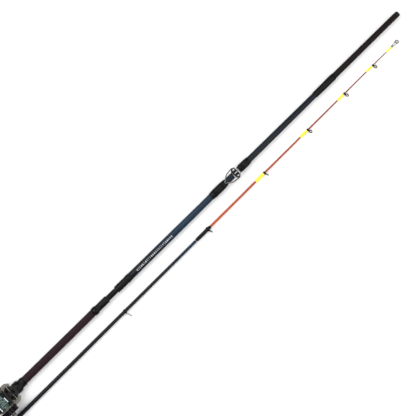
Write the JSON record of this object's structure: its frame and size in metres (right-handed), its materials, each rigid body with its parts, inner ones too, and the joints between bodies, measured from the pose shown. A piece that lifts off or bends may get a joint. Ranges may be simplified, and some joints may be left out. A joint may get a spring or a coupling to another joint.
{
  "type": "fishing rod and reel",
  "caption": "Two-piece boat rod laid beside itself for storage, with a screw-jointed handle, line guides and a low-profile multiplier reel.",
  "frame": {"origin": "centre of the butt cap's flat end face", "axes": "+X along the handle and butt section towards the ferrule end, +Z on the reel's side, -Y on the crank's side"},
  "size_m": [1.6274, 0.1172, 0.079],
  "materials": {
    "grip_weave": "woven satin",
    "soft_black": "matte",
    "gloss_black": "gloss lacquer",
    "blank_blue": "gloss lacquer over carbon",
    "matte_brown": "matte",
    "orange_glass": "clear lacquer over solid glass fibre",
    "yellow_thread": "lacquered thread",
    "steel": "polished",
    "chrome": "mirror",
    "ceramic": "polished ceramic",
    "olive_metal": "satin metallic paint",
    "brass": "machined",
    "braid": "braided line"
  },
  "bodies": {
    "handle": {"rear_grip": "grip_weave", "foregrip": "grip_weave", "butt_cap": "soft_black", "reel_seat_tube": "gloss_black", "front_hood": "gloss_black", "joint_socket": "gloss_black", "rear_cover": "gloss_black", "nose_cover": "gloss_black", "palm_side_bearing": "steel", "gear_side_bearing": "steel", "front_bar": "chrome", "rear_bar": "chrome", "guide_rail": "gloss_black", "reel_frame": "olive_metal", "gear_cover": "gloss_black", "palm_cover": "olive_metal"},
    "sliding_hood": {"sliding_hood": "gloss_black"},
    "lock_nut": {"lock_nut": "olive_metal"},
    "butt_section": {"butt_blank": "blank_blue", "blank_collar": "gloss_black", "stripper_wrap_rear": "gloss_black", "stripper_wrap_front": "gloss_black", "stripper_frame": "steel", "stripper_ring": "ceramic", "ferrule_sleeve": "matte_brown", "ferrule_wrap": "gloss_black"},
    "coupling_nut": {"coupling_nut": "gloss_black"},
    "end_plug": {"end_plug": "soft_black"},
    "tip_section": {"tip_section_cap": "soft_black", "lower_blank": "blank_blue", "splice_sleeve": "gloss_black", "glass_tip": "orange_glass", "guide_1": "gloss_black", "guide_2": "gloss_black", "guide_3": "gloss_black", "guide_4": "gloss_black", "guide_5": "gloss_black", "guide_6": "gloss_black", "tip_top": "steel", "tip_wrap": "yellow_thread", "guide_3_wrap": "yellow_thread", "guide_4_wrap": "yellow_thread", "guide_5_wrap": "yellow_thread", "guide_6_wrap": "yellow_thread"},
    "spool": {"spool": "olive_metal", "wound_line": "braid", "spool_pinion_shaft": "brass"},
    "crank": {"drive_gear": "brass", "drive_shaft": "steel", "drag_washer": "soft_black", "crank_arm": "olive_metal", "crank_nut": "chrome"},
    "star_drag": {"star_drag": "olive_metal"},
    "upper_knob": {"upper_knob": "soft_black"},
    "lower_knob": {"lower_knob": "soft_black"},
    "tension_cap": {"tension_cap": "olive_metal"},
    "brake_dial": {"brake_dial": "soft_black"},
    "worm": {"worm_shaft": "steel"},
    "line_guide": {"line_guide": "soft_black"},
    "thumb_bar": {"thumb_bar": "soft_black"}
  },
  "joints": [
    {"name": "butt_section_pull", "type": "slide", "parent": "handle", "child": "butt_section", "axis": [1, 0, 0], "range_m": [0, 0.094]},
    {"name": "coupling_nut_back", "type": "slide", "parent": "butt_section", "child": "coupling_nut", "axis": [-1, 0, 0], "range_m": [0, 0.026]},
    {"name": "end_plug_pull", "type": "slide", "parent": "butt_section", "child": "end_plug", "axis": [1, 0, 0], "range_m": [0, 0.04]},
    {"name": "tip_section_shift", "type": "slide", "parent": "handle", "child": "tip_section", "axis": [1, 0.0049, 0], "range_m": [0, 0.3]},
    {"name": "hood_slide", "type": "slide", "parent": "handle", "child": "sliding_hood", "axis": [-1, 0, 0], "range_m": [0, 0.013]},
    {"name": "lock_nut_turn", "type": "hinge", "parent": "sliding_hood", "child": "lock_nut", "pos_m": [0.3506, 0, 0], "axis": [1, 0, 0], "continuous": true},
    {"name": "crank_turn", "type": "hinge", "parent": "handle", "child": "crank", "pos_m": [0.39245, 0, 0.02576], "axis": [0, 1, 0], "continuous": true},
    {"name": "spool_turn", "type": "hinge", "parent": "handle", "child": "spool", "pos_m": [0.4096, 0, 0.032], "axis": [0, 1, 0], "continuous": true},
    {"name": "worm_turn", "type": "hinge", "parent": "handle", "child": "worm", "pos_m": [0.4356, 0, 0.02], "axis": [0, 1, 0], "continuous": true},
    {"name": "line_guide_travel", "type": "slide", "parent": "handle", "child": "line_guide", "axis": [0, 1, 0], "range_m": [-0.01, 0.01]},
    {"name": "star_drag_turn", "type": "hinge", "parent": "crank", "child": "star_drag", "pos_m": [0.39245, 0, 0.02576], "axis": [0, 1, 0], "range_deg": [-180, 180]},
    {"name": "upper_knob_turn", "type": "hinge", "parent": "crank", "child": "upper_knob", "pos_m": [0.39245, 0, 0.05776], "axis": [0, 1, 0], "continuous": true},
    {"name": "lower_knob_turn", "type": "hinge", "parent": "crank", "child": "lower_knob", "pos_m": [0.39245, 0, -0.00624], "axis": [0, 1, 0], "continuous": true},
    {"name": "tension_cap_turn", "type": "hinge", "parent": "handle", "child": "tension_cap", "pos_m": [0.4096, 0, 0.032], "axis": [0, 1, 0], "range_deg": [-180, 180]},
    {"name": "brake_dial_turn", "type": "hinge", "parent": "handle", "child": "brake_dial", "pos_m": [0.4096, 0, 0.032], "axis": [0, 1, 0], "range_deg": [-140, 140]},
    {"name": "thumb_bar_press", "type": "slide", "parent": "handle", "child": "thumb_bar", "axis": [0, 0, -1], "range_m": [0, 0.003], "stiffness_N_per_m": 400, "springref_m": -0.002}
  ],
  "couplings": [
    {"joint": "spool_turn", "follows": "crank_turn", "ratio": -5},
    {"joint": "worm_turn", "follows": "crank_turn", "ratio": 2.4}
  ]
}
